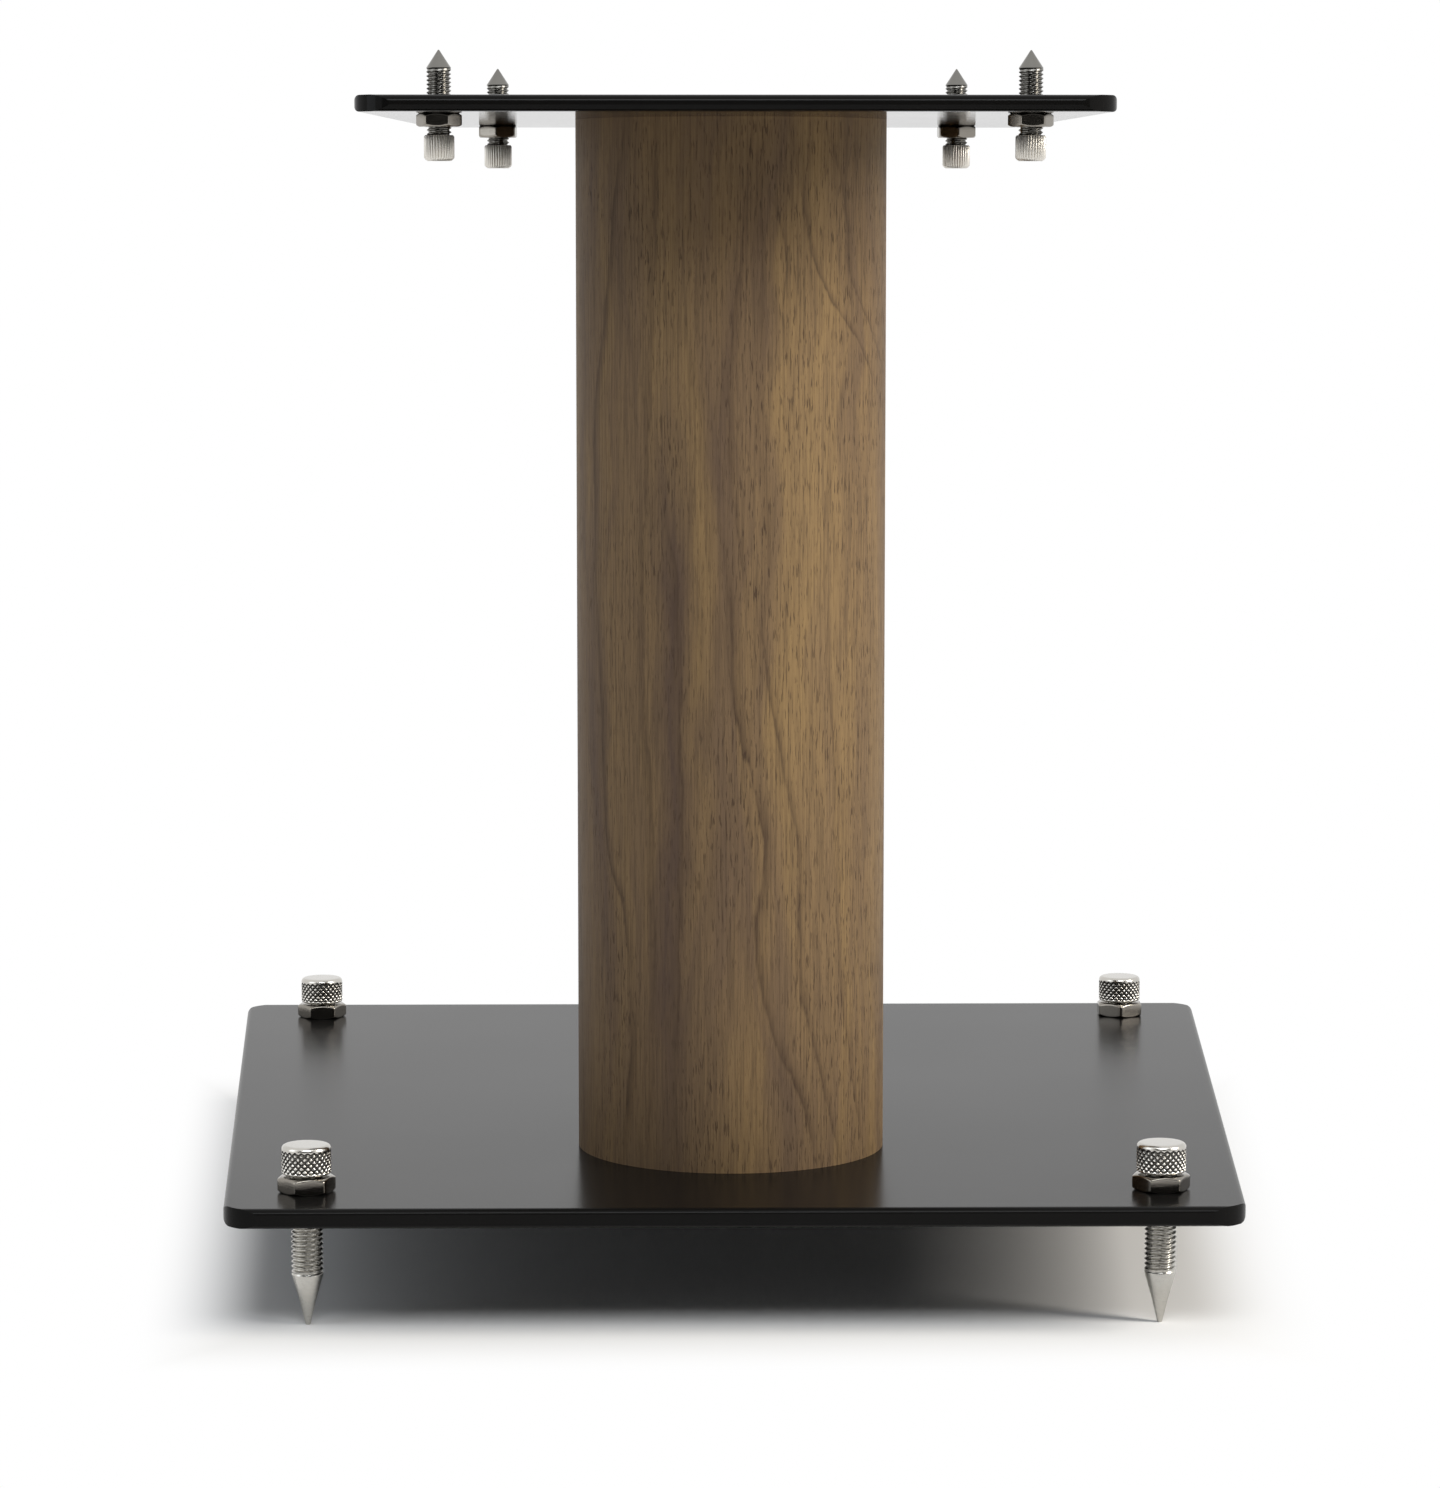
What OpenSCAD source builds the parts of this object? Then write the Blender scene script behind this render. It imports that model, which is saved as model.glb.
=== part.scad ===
// Low loudspeaker stand: a veneered round column between two gloss plates,
// with adjustable spikes under the base and adjustable spikes on the top plate.
// Millimetres, +Z up, the front faces -Y, the spike tips stand on Z = 0.

/* [Whole stand] */
// Height of the top plate's upper face above the floor
stand_height = 305; // [240:1:640]
// Height of the base plate's underside above the floor
floor_clearance = 29; // [24:0.5:32]

/* [Base plate] */
// Width of the base plate along its front edge
base_front_width = 252; // [230:1:290]
// Width of the base plate along its rear edge
base_rear_width = 293; // [230:1:310]
// Depth of the base plate, front edge to rear edge
base_depth = 300; // [270:1:330]
// From the column's centre line forward to the base plate's front edge
base_front_reach = 82; // [76:1:110]
// Thickness of the base plate
base_thickness = 5; // [4:0.5:10]
// Radius of the base plate's corners seen from above
base_corner_radius = 10; // [6:0.5:14]
// Radius of the pencil edge all round the base plate
base_edge_radius = 1.5; // [0.5:0.25:2]
// From a side edge in to the middle of a front floor spike
base_front_side_inset = 20.5; // [18:0.5:28]
// From a side edge in to the middle of a rear floor spike
base_rear_side_inset = 23; // [18:0.5:28]
// From the front or rear edge in to the middle of a floor spike
base_end_inset = 22; // [18:0.5:28]

/* [Top plate] */
// Width of the top plate along its front edge
top_front_width = 184; // [165:1:200]
// Width of the top plate along its rear edge
top_rear_width = 165; // [155:1:190]
// Depth of the top plate, front edge to rear edge
top_depth = 176; // [160:1:200]
// From the column's centre line forward to the top plate's front edge
top_front_reach = 88; // [80:1:100]
// Thickness of the top plate
top_thickness = 4; // [4:0.25:6]
// Radius of the top plate's corners seen from above
top_corner_radius = 10; // [6:0.5:14]
// Radius of the rounded edge all round the top plate
top_edge_radius = 1.75; // [0.5:0.25:1.75]
// From a side edge in to the middle of a front top spike
top_front_side_inset = 19; // [16:0.5:24]
// From a side edge in to the middle of a rear top spike
top_rear_side_inset = 21.5; // [16:0.5:24]
// From the front or rear edge in to the middle of a top spike
top_end_inset = 22; // [16:0.5:26]

/* [Column] */
// Diameter of the column over its veneer
column_diameter = 80; // [70:1:84]
// Thickness of the veneer wrapped round the column
veneer_thickness = 0.6; // [0.5:0.1:1]
// Wall of the tube under the veneer
core_wall = 9; // [6:0.5:10]
// Thickness of the plug glued into each end of the tube
plug_thickness = 18; // [16:1:25]

/* [Floor spikes] */
// Thread diameter of a floor spike
floor_thread_diameter = 8; // [6:1:10]
// Length of the floor spike's point
floor_cone_length = 13; // [8:0.5:16]
// Diameter of the blunt end of the point
floor_tip_diameter = 1.2; // [0.8:0.1:2]
// Size across the flats of the locknut on the base plate
floor_nut_across_flats = 13; // [13:0.5:17]
// Thickness of the locknut on the base plate
floor_nut_thickness = 4; // [3:0.5:6]
// Diameter of the knurled adjuster cap
cap_diameter = 12.4; // [12:0.2:16]
// Height of the knurled adjuster cap
cap_height = 7.4; // [6:0.2:12]
// Radius of the rounded rim on top of the adjuster cap
cap_rim_radius = 1.1; // [0.5:0.1:1.5]
// Gap between the locknut and the adjuster cap
cap_gap = 0.6; // [0.6:0.1:3]

/* [Top spikes] */
// Height of a top spike's tip above the top plate
spike_reach = 11.3; // [8:0.1:16]
// Thread diameter of a top spike
top_thread_diameter = 6; // [4:1:6]
// Length of the top spike's point
top_cone_length = 3.4; // [2.5:0.1:6]
// Diameter of the blunt end of the top spike's point
top_tip_diameter = 0.8; // [0.6:0.1:1.2]
// Size across the flats of the locknut under the top plate
top_nut_across_flats = 10; // [10:0.5:13]
// Thickness of the locknut under the top plate
top_nut_thickness = 3.2; // [2.5:0.1:5]
// Diameter of the knurled head
head_diameter = 7.4; // [7.4:0.1:10]
// Height of the knurled head
head_height = 6.2; // [5:0.1:10]
// Gap between the locknut and the knurled head
head_gap = 2; // [1:0.1:6]
// Number of grooves round the knurled head
head_groove_count = 32; // [20:1:40]
// Depth of a groove as a share of the head's radius
head_groove_share = 0.06; // [0.03:0.01:0.08]

/* [Fixings inside] */
// Diameter of the circle the fixing screws stand on
screw_circle_diameter = 42; // [38:1:44]
// Number of fixing screws at each end of the column
screw_count = 4; // [3:1:6]
// Thread diameter of a fixing screw
screw_diameter = 6; // [5:0.5:6]
// Length of a fixing screw, head and thread
screw_length = 16; // [12:1:16]
// Size across the flats of the socket in the screw's head
screw_socket_flats = 4; // [3:0.5:4]
// Outside diameter of a threaded insert
insert_diameter = 9; // [8:0.5:10]
// Length of a threaded insert
insert_length = 13; // [12:0.5:14]

/* [Fit and finish] */
// Play round a thread where one piece turns or slides in another, on the radius
running_play = 0.05; // [0.02:0.01:0.1]
// Play round a fixing screw in its plate, on the radius
screw_play = 0.3; // [0.2:0.05:0.5]
// Small chamfer on threads, nuts and knurled pieces
small_chamfer = 0.4; // [0.2:0.1:0.5]

/* [Hidden] */
$fn = 72;
hex_sides = 6;
overrun_share = 0.125;
overrun = floor_thread_diameter * overrun_share;
half_turn = 180;
quarter_turn = 90;
hex_corner_share = 1 / cos(half_turn / hex_sides);
nut_slope_share = tan(half_turn / hex_sides);
countersink_share = 2;
socket_depth_share = 0.2;
head_seat_share = 0.25;
groove_land_share = 0.35;
corner_ease = running_play;
// Angles at which the locknuts came to rest: front left, front right, rear left, rear right
base_nut_turns = [11, 3, 5, 30];
top_nut_turns = [-4, 2, 26, -26];

bbox_front_reach = max(base_front_reach, top_front_reach);
bbox_rear_reach = max(base_depth - base_front_reach, top_depth - top_front_reach);
column_y = (bbox_front_reach - bbox_rear_reach) / 2;
column_radius = column_diameter / 2;
core_radius = column_radius - veneer_thickness;
plug_radius = core_radius - core_wall;

base_bottom_z = floor_clearance;
base_top_z = base_bottom_z + base_thickness;
top_top_z = stand_height;
top_bottom_z = top_top_z - top_thickness;
column_height = top_bottom_z - base_top_z;

base_front_y = column_y - base_front_reach;
base_rear_y = base_front_y + base_depth;
base_front_spike_y = base_front_y + base_end_inset;
base_rear_spike_y = base_rear_y - base_end_inset;
base_taper = (base_rear_width - base_front_width) / base_depth / 2;
base_front_spike_x = base_front_width / 2 + base_taper * base_end_inset - base_front_side_inset;
base_rear_spike_x = base_rear_width / 2 - base_taper * base_end_inset - base_rear_side_inset;

top_front_y = column_y - top_front_reach;
top_rear_y = top_front_y + top_depth;
top_front_spike_y = top_front_y + top_end_inset;
top_rear_spike_y = top_rear_y - top_end_inset;
top_taper = (top_rear_width - top_front_width) / top_depth / 2;
top_front_spike_x = top_front_width / 2 + top_taper * top_end_inset - top_front_side_inset;
top_rear_spike_x = top_rear_width / 2 - top_taper * top_end_inset - top_rear_side_inset;

floor_thread_radius = floor_thread_diameter / 2;
top_thread_radius = top_thread_diameter / 2;
floor_nut_top_z = base_top_z + floor_nut_thickness;
cap_bottom_z = floor_nut_top_z + cap_gap;
cap_top_z = cap_bottom_z + cap_height;
cap_radius = cap_diameter / 2;
cap_seat_z = cap_top_z - cap_rim_radius * 2;
tip_top_z = top_top_z + spike_reach;
top_nut_bottom_z = top_bottom_z - top_nut_thickness;
head_top_z = top_nut_bottom_z - head_gap;
head_bottom_z = head_top_z - head_height;
head_radius = head_diameter / 2;
head_seat_z = head_bottom_z + head_height * head_seat_share;

screw_radius = screw_diameter / 2;
screw_head_radius = screw_radius * countersink_share;
screw_head_height = screw_head_radius - screw_radius;
insert_radius = insert_diameter / 2;

plate_colour = [0.03, 0.03, 0.035];
core_colour = [0.62, 0.48, 0.33];
veneer_colour = [0.32, 0.22, 0.14];
steel_colour = [0.6, 0.6, 0.58];
nickel_colour = [0.75, 0.74, 0.7];
brass_colour = [0.72, 0.58, 0.3];

// A long slab whose one edge, at X = 0, is rounded top and bottom
module slab_section(reach, thickness, radius) {
  translate([-reach, 0]) square([reach - radius, thickness]);
  translate([-reach, radius]) square([reach, thickness - radius * 2]);
  translate([-radius, radius]) circle(r = radius);
  translate([-radius, thickness - radius]) circle(r = radius);
}

// A slab with its rounded edge along the line between two corners, longer than that line
module edge_slab(from, to, reach, thickness, radius) {
  run = to - from;
  heading = atan2(run[1], run[0]);
  translate([from[0], from[1], 0])
    rotate([quarter_turn, 0, heading - quarter_turn])
      translate([0, 0, -norm(run) - reach])
        linear_extrude(height = norm(run) + reach * 2) slab_section(reach, thickness, radius);
}

// A flat plate whose front and rear edges may differ in width, corners and edges rounded
module tapered_plate(front_width, rear_width, depth, thickness, corner, edge) {
  lean = (rear_width - front_width) / depth / 2;
  slant = sqrt(1 + lean * lean);
  reach = depth + front_width + rear_width;
  corners = [[-front_width, 0], [front_width, 0], [rear_width, depth * 2], [-rear_width, depth * 2]] / 2;
  setback = corner - corner_ease;
  front_x = front_width / 2 + lean * setback - setback * slant;
  rear_x = rear_width / 2 - lean * setback - setback * slant;
  rear_y = depth - setback;
  spread = [corner / slant * 2, -corner * lean / slant * 2];
  intersection() {
    edge_slab(corners[0], corners[1], reach, thickness, edge);
    edge_slab(corners[1], corners[2], reach, thickness, edge);
    edge_slab(corners[2], corners[3], reach, thickness, edge);
    edge_slab(corners[3], corners[0], reach, thickness, edge);
    translate([0, 0, -overrun])
      linear_extrude(height = thickness + overrun * 2) {
        polygon([
          [-front_x, -corner], [front_x, -corner],
          [rear_x, depth + corner], [-rear_x, depth + corner]
        ]);
        polygon([
          [-front_x - spread[0], setback + spread[1]], [-front_x, setback],
          [front_x, setback], [front_x + spread[0], setback + spread[1]],
          [rear_x + spread[0], rear_y + spread[1]], [rear_x, rear_y],
          [-rear_x, rear_y], [-rear_x - spread[0], rear_y + spread[1]]
        ]);
        for (place = [[-front_x, setback], [front_x, setback], [rear_x, rear_y], [-rear_x, rear_y]])
          translate(place) circle(r = corner);
      }
  }
}

// Copies what it is given to each place on the circle of fixing screws
module at_each_screw() {
  for (i = [0 : screw_count - 1])
    translate([0, column_y, 0])
      rotate([0, 0, (i + 1 / 2) * half_turn * 2 / screw_count])
        translate([screw_circle_diameter / 2, 0, 0])
          children();
}

// A countersunk hole from the surface at Z = 0 down through the plate
module countersunk_hole(thickness) {
  translate([0, 0, -thickness - overrun])
    cylinder(r = screw_radius + screw_play, h = thickness + overrun * 2);
  translate([0, 0, -screw_head_height])
    cylinder(r1 = screw_radius, r2 = screw_head_radius, h = screw_head_height);
}

// A countersunk socket screw with its head's face at Z = 0 and its thread below
module countersunk_screw() {
  difference() {
    rotate_extrude()
      polygon([
        [0, 0], [screw_head_radius, 0], [screw_radius, -screw_head_height],
        [screw_radius, small_chamfer - screw_length], [screw_radius - small_chamfer, -screw_length],
        [0, -screw_length]
      ]);
    translate([0, 0, -screw_length * socket_depth_share])
      cylinder(d = screw_socket_flats * hex_corner_share, h = screw_length, $fn = hex_sides);
  }
}

// A hexagon locknut, its corners turned off at both faces, with its underside at Z = 0
module locknut(flats, thickness, bore_radius) {
  flat_radius = flats / 2;
  corner_radius = flat_radius * hex_corner_share;
  drop = (corner_radius - flat_radius) * nut_slope_share;
  difference() {
    intersection() {
      cylinder(r = corner_radius, h = thickness, $fn = hex_sides);
      rotate_extrude()
        polygon([
          [0, 0], [flat_radius, 0], [corner_radius, drop],
          [corner_radius, thickness - drop], [flat_radius, thickness], [0, thickness]
        ]);
    }
    translate([0, 0, -overrun]) cylinder(r = bore_radius, h = thickness + overrun * 2);
    translate([0, 0, -small_chamfer])
      cylinder(r1 = bore_radius + small_chamfer * 2, r2 = bore_radius, h = small_chamfer * 2);
    translate([0, 0, thickness - small_chamfer])
      cylinder(r1 = bore_radius, r2 = bore_radius + small_chamfer * 2, h = small_chamfer * 2);
  }
}

// The threaded shank of a floor spike with its point down
module floor_spike(place_x, place_y) {
  shank_radius = floor_thread_radius;
  color(steel_colour)
    translate([place_x, place_y, 0])
      rotate_extrude()
        polygon([
          [0, 0], [floor_tip_diameter / 2, 0], [shank_radius, floor_cone_length],
          [shank_radius, cap_seat_z - small_chamfer],
          [shank_radius - small_chamfer, cap_seat_z], [0, cap_seat_z]
        ]);
}

// The knurled cap that turns a floor spike, open below for the spike's thread
module adjuster_cap(place_x, place_y) {
  bore_radius = floor_thread_radius + running_play;
  color(nickel_colour)
    translate([place_x, place_y, 0])
      rotate_extrude() {
        difference() {
          union() {
            translate([0, cap_bottom_z])
              polygon([
                [0, 0], [cap_radius - small_chamfer, 0], [cap_radius, small_chamfer],
                [cap_radius, cap_height - cap_rim_radius], [0, cap_height - cap_rim_radius]
              ]);
            translate([0, cap_top_z - cap_rim_radius])
              square([cap_radius - cap_rim_radius, cap_rim_radius]);
            intersection() {
              translate([cap_radius - cap_rim_radius, cap_top_z - cap_rim_radius])
                circle(r = cap_rim_radius);
              translate([0, cap_bottom_z]) square([cap_radius, cap_height]);
            }
          }
          translate([0, cap_bottom_z - overrun])
            square([bore_radius, cap_seat_z + running_play - cap_bottom_z + overrun]);
        }
      }
}

module base_locknut(place_x, place_y, turn) {
  color(steel_colour)
    translate([place_x, place_y, base_top_z])
      rotate([0, 0, turn])
        locknut(floor_nut_across_flats, floor_nut_thickness, floor_thread_radius + running_play);
}

// The threaded shank of a top spike with its point up
module top_spike(place_x, place_y) {
  shank_radius = top_thread_radius;
  color(steel_colour)
    translate([place_x, place_y, 0])
      rotate_extrude()
        polygon([
          [0, head_seat_z], [shank_radius - small_chamfer, head_seat_z],
          [shank_radius, head_seat_z + small_chamfer], [shank_radius, tip_top_z - top_cone_length],
          [top_tip_diameter / 2, tip_top_z], [0, tip_top_z]
        ]);
}

// The outline of a straight knurl: lands on the full radius, grooves a little below it
module knurl_outline() {
  groove_radius = head_radius * (1 - head_groove_share);
  step = half_turn * 2 / head_groove_count;
  land = step * groove_land_share / 2;
  polygon([
    for (i = [0 : head_groove_count - 1])
      for (point = [[head_radius, -land], [head_radius, land], [groove_radius, step / 2]])
        [point[0] * cos(i * step + point[1]), point[0] * sin(i * step + point[1])]
  ]);
}

// The straight-knurled head that turns a top spike, open above for the spike's thread
module knurled_head(place_x, place_y) {
  bore_radius = top_thread_radius + running_play;
  bevel = small_chamfer * 2;
  color(nickel_colour)
    translate([place_x, place_y, head_bottom_z])
      difference() {
        intersection() {
          linear_extrude(height = head_height) knurl_outline();
          rotate_extrude()
            polygon([
              [0, 0], [head_radius - bevel, 0], [head_radius + overrun, bevel + overrun],
              [head_radius + overrun, head_height - small_chamfer - overrun],
              [head_radius - small_chamfer, head_height], [0, head_height]
            ]);
        }
        translate([0, 0, head_seat_z - running_play - head_bottom_z])
          cylinder(r = bore_radius, h = head_height + overrun);
      }
}

module top_locknut(place_x, place_y, turn) {
  color(steel_colour)
    translate([place_x, place_y, top_nut_bottom_z])
      rotate([0, 0, turn])
        locknut(top_nut_across_flats, top_nut_thickness, top_thread_radius + running_play);
}

module base_plate() {
  color(plate_colour)
    difference() {
      translate([0, base_front_y, base_bottom_z])
        tapered_plate(
          base_front_width, base_rear_width, base_depth,
          base_thickness, base_corner_radius, base_edge_radius
        );
      for (side = [-1, 1]) {
        translate([side * base_front_spike_x, base_front_spike_y, base_bottom_z - overrun])
          cylinder(r = floor_thread_radius + running_play, h = base_thickness + overrun * 2);
        translate([side * base_rear_spike_x, base_rear_spike_y, base_bottom_z - overrun])
          cylinder(r = floor_thread_radius + running_play, h = base_thickness + overrun * 2);
      }
      at_each_screw()
        translate([0, 0, base_bottom_z])
          rotate([half_turn, 0, 0]) countersunk_hole(base_thickness);
    }
}

module top_plate() {
  color(plate_colour)
    difference() {
      translate([0, top_front_y, top_bottom_z])
        tapered_plate(
          top_front_width, top_rear_width, top_depth,
          top_thickness, top_corner_radius, top_edge_radius
        );
      for (side = [-1, 1]) {
        translate([side * top_front_spike_x, top_front_spike_y, top_bottom_z - overrun])
          cylinder(r = top_thread_radius + running_play, h = top_thickness + overrun * 2);
        translate([side * top_rear_spike_x, top_rear_spike_y, top_bottom_z - overrun])
          cylinder(r = top_thread_radius + running_play, h = top_thickness + overrun * 2);
      }
      at_each_screw()
        translate([0, 0, top_top_z]) countersunk_hole(top_thickness);
    }
}

module column_tube() {
  color(core_colour)
    translate([0, column_y, base_top_z])
      difference() {
        cylinder(r = core_radius, h = column_height);
        translate([0, 0, -overrun]) cylinder(r = plug_radius, h = column_height + overrun * 2);
      }
}

module column_veneer() {
  color(veneer_colour)
    translate([0, column_y, base_top_z])
      difference() {
        cylinder(r = column_radius, h = column_height);
        translate([0, 0, -overrun]) cylinder(r = core_radius, h = column_height + overrun * 2);
      }
}

// A plug with its outer face at the top and a blind hole for each insert
module end_plug(face_z, lower) {
  difference() {
    translate([0, column_y, lower ? face_z : face_z - plug_thickness])
      cylinder(r = plug_radius, h = plug_thickness);
    at_each_screw()
      translate([0, 0, lower ? face_z - overrun : face_z - insert_length])
        cylinder(r = insert_radius, h = insert_length + overrun);
  }
}

module top_plug() {
  color(core_colour) end_plug(top_bottom_z, false);
}

module bottom_plug() {
  color(core_colour) end_plug(base_top_z, true);
}

// The threaded inserts of one end, their open ends level with the plug's outer face
module insert_group(low_z) {
  at_each_screw()
    translate([0, 0, low_z])
      difference() {
        cylinder(r = insert_radius, h = insert_length);
        translate([0, 0, -overrun]) cylinder(r = screw_radius, h = insert_length + overrun * 2);
      }
}

module top_inserts() {
  color(brass_colour) insert_group(top_bottom_z - insert_length);
}

module bottom_inserts() {
  color(brass_colour) insert_group(base_top_z);
}

module top_plate_screws() {
  color(steel_colour)
    at_each_screw()
      translate([0, 0, top_top_z]) countersunk_screw();
}

module base_plate_screws() {
  color(steel_colour)
    at_each_screw()
      translate([0, 0, base_bottom_z])
        rotate([half_turn, 0, 0]) countersunk_screw();
}

module floor_spike_front_left() floor_spike(-base_front_spike_x, base_front_spike_y);
module floor_spike_front_right() floor_spike(base_front_spike_x, base_front_spike_y);
module floor_spike_rear_left() floor_spike(-base_rear_spike_x, base_rear_spike_y);
module floor_spike_rear_right() floor_spike(base_rear_spike_x, base_rear_spike_y);
module adjuster_cap_front_left() adjuster_cap(-base_front_spike_x, base_front_spike_y);
module adjuster_cap_front_right() adjuster_cap(base_front_spike_x, base_front_spike_y);
module adjuster_cap_rear_left() adjuster_cap(-base_rear_spike_x, base_rear_spike_y);
module adjuster_cap_rear_right() adjuster_cap(base_rear_spike_x, base_rear_spike_y);
module base_locknut_front_left() base_locknut(-base_front_spike_x, base_front_spike_y, base_nut_turns[0]);
module base_locknut_front_right() base_locknut(base_front_spike_x, base_front_spike_y, base_nut_turns[1]);
module base_locknut_rear_left() base_locknut(-base_rear_spike_x, base_rear_spike_y, base_nut_turns[2]);
module base_locknut_rear_right() base_locknut(base_rear_spike_x, base_rear_spike_y, base_nut_turns[3]);
module top_spike_front_left() top_spike(-top_front_spike_x, top_front_spike_y);
module top_spike_front_right() top_spike(top_front_spike_x, top_front_spike_y);
module top_spike_rear_left() top_spike(-top_rear_spike_x, top_rear_spike_y);
module top_spike_rear_right() top_spike(top_rear_spike_x, top_rear_spike_y);
module knurled_head_front_left() knurled_head(-top_front_spike_x, top_front_spike_y);
module knurled_head_front_right() knurled_head(top_front_spike_x, top_front_spike_y);
module knurled_head_rear_left() knurled_head(-top_rear_spike_x, top_rear_spike_y);
module knurled_head_rear_right() knurled_head(top_rear_spike_x, top_rear_spike_y);
module top_locknut_front_left() top_locknut(-top_front_spike_x, top_front_spike_y, top_nut_turns[0]);
module top_locknut_front_right() top_locknut(top_front_spike_x, top_front_spike_y, top_nut_turns[1]);
module top_locknut_rear_left() top_locknut(-top_rear_spike_x, top_rear_spike_y, top_nut_turns[2]);
module top_locknut_rear_right() top_locknut(top_rear_spike_x, top_rear_spike_y, top_nut_turns[3]);

base_plate();
top_plate();
column_tube();
column_veneer();
top_plug();
bottom_plug();
top_inserts();
bottom_inserts();
top_plate_screws();
base_plate_screws();
floor_spike_front_left();
floor_spike_front_right();
floor_spike_rear_left();
floor_spike_rear_right();
adjuster_cap_front_left();
adjuster_cap_front_right();
adjuster_cap_rear_left();
adjuster_cap_rear_right();
base_locknut_front_left();
base_locknut_front_right();
base_locknut_rear_left();
base_locknut_rear_right();
top_spike_front_left();
top_spike_front_right();
top_spike_rear_left();
top_spike_rear_right();
knurled_head_front_left();
knurled_head_front_right();
knurled_head_rear_left();
knurled_head_rear_right();
top_locknut_front_left();
top_locknut_front_right();
top_locknut_rear_left();
top_locknut_rear_right();
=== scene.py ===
import bpy
import numpy as np
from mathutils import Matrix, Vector


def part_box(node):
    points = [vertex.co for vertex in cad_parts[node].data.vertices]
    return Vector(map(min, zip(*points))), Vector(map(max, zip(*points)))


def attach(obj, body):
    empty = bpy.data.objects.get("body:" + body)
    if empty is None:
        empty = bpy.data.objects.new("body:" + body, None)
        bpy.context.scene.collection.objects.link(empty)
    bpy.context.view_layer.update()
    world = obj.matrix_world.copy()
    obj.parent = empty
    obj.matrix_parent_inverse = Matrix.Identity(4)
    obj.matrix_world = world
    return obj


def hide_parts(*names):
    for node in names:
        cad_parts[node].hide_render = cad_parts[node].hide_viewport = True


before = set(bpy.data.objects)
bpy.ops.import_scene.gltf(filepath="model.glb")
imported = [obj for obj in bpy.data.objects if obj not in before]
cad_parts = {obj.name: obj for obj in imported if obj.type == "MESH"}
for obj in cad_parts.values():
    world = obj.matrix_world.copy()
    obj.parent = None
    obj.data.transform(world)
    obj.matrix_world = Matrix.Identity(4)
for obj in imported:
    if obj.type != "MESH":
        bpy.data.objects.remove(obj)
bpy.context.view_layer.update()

bl_info = {
    "name": "Loudspeaker stand",
    "version": (1, 0, 0),
    "blender": (4, 5, 0),
    "location": "View3D > Sidebar > Stand",
    "description": "Dresses the low loudspeaker stand: veneered column, gloss plates, spikes, caps and locknuts",
    "category": "Object",
}

CORNERS = ("front_left", "front_right", "rear_left", "rear_right")
TURN = 2 * np.pi
MILLIMETRES = 1000.0
FLOOR_BORE, TOP_BORE = 0.00405, 0.00305
SEAT_GAP = 0.00005
BACKGROUND_RAYS = ("Is Camera Ray", "Is Glossy Ray", "Is Transmission Ray")
LAMPS = (
    ("key_lamp", (1.45, -0.65, 0.95), (0.0, 0.0, 0.15), (0.5, 0.9), (1.0, 0.95, 0.87)),
    ("fill_lamp", (-1.4, -0.6, 0.8), (0.0, 0.0, 0.15), (0.8, 1.1), (0.86, 0.93, 1.0)),
    ("top_lamp", (0.1, -1.35, 1.35), (0.0, -0.1, 0.1), (1.0, 0.6), (0.94, 0.97, 1.0)),
)


# Values a user would change

class StandSizes(bpy.types.PropertyGroup):
    """Sizes of the turned and threaded pieces"""
    floor_thread_pitch: bpy.props.FloatProperty(
        name="Floor thread pitch", description="Rise of the floor spike's thread in one turn",
        default=0.00125, unit="LENGTH")
    top_thread_pitch: bpy.props.FloatProperty(
        name="Top thread pitch", description="Rise of the top spike's thread in one turn",
        default=0.001, unit="LENGTH")
    thread_depth_share: bpy.props.FloatProperty(
        name="Thread depth", description="Depth of a thread as a share of its pitch", default=0.46)
    knurl_diamonds: bpy.props.IntProperty(
        name="Knurl diamonds", description="Diamonds round an adjuster cap", default=24)
    knurl_depth: bpy.props.FloatProperty(
        name="Knurl depth", description="Depth of the grooves between the diamonds",
        default=0.00048, unit="LENGTH")
    head_ribs: bpy.props.IntProperty(
        name="Head ribs", description="Straight ribs round a knurled head", default=32)
    head_rib_depth: bpy.props.FloatProperty(
        name="Head rib depth", description="Depth of the grooves between the ribs",
        default=0.00027, unit="LENGTH")
    edge_softness: bpy.props.FloatProperty(
        name="Nut edge softness", description="How far a nut's edges are rounded over",
        default=0.00018, unit="LENGTH")


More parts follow.
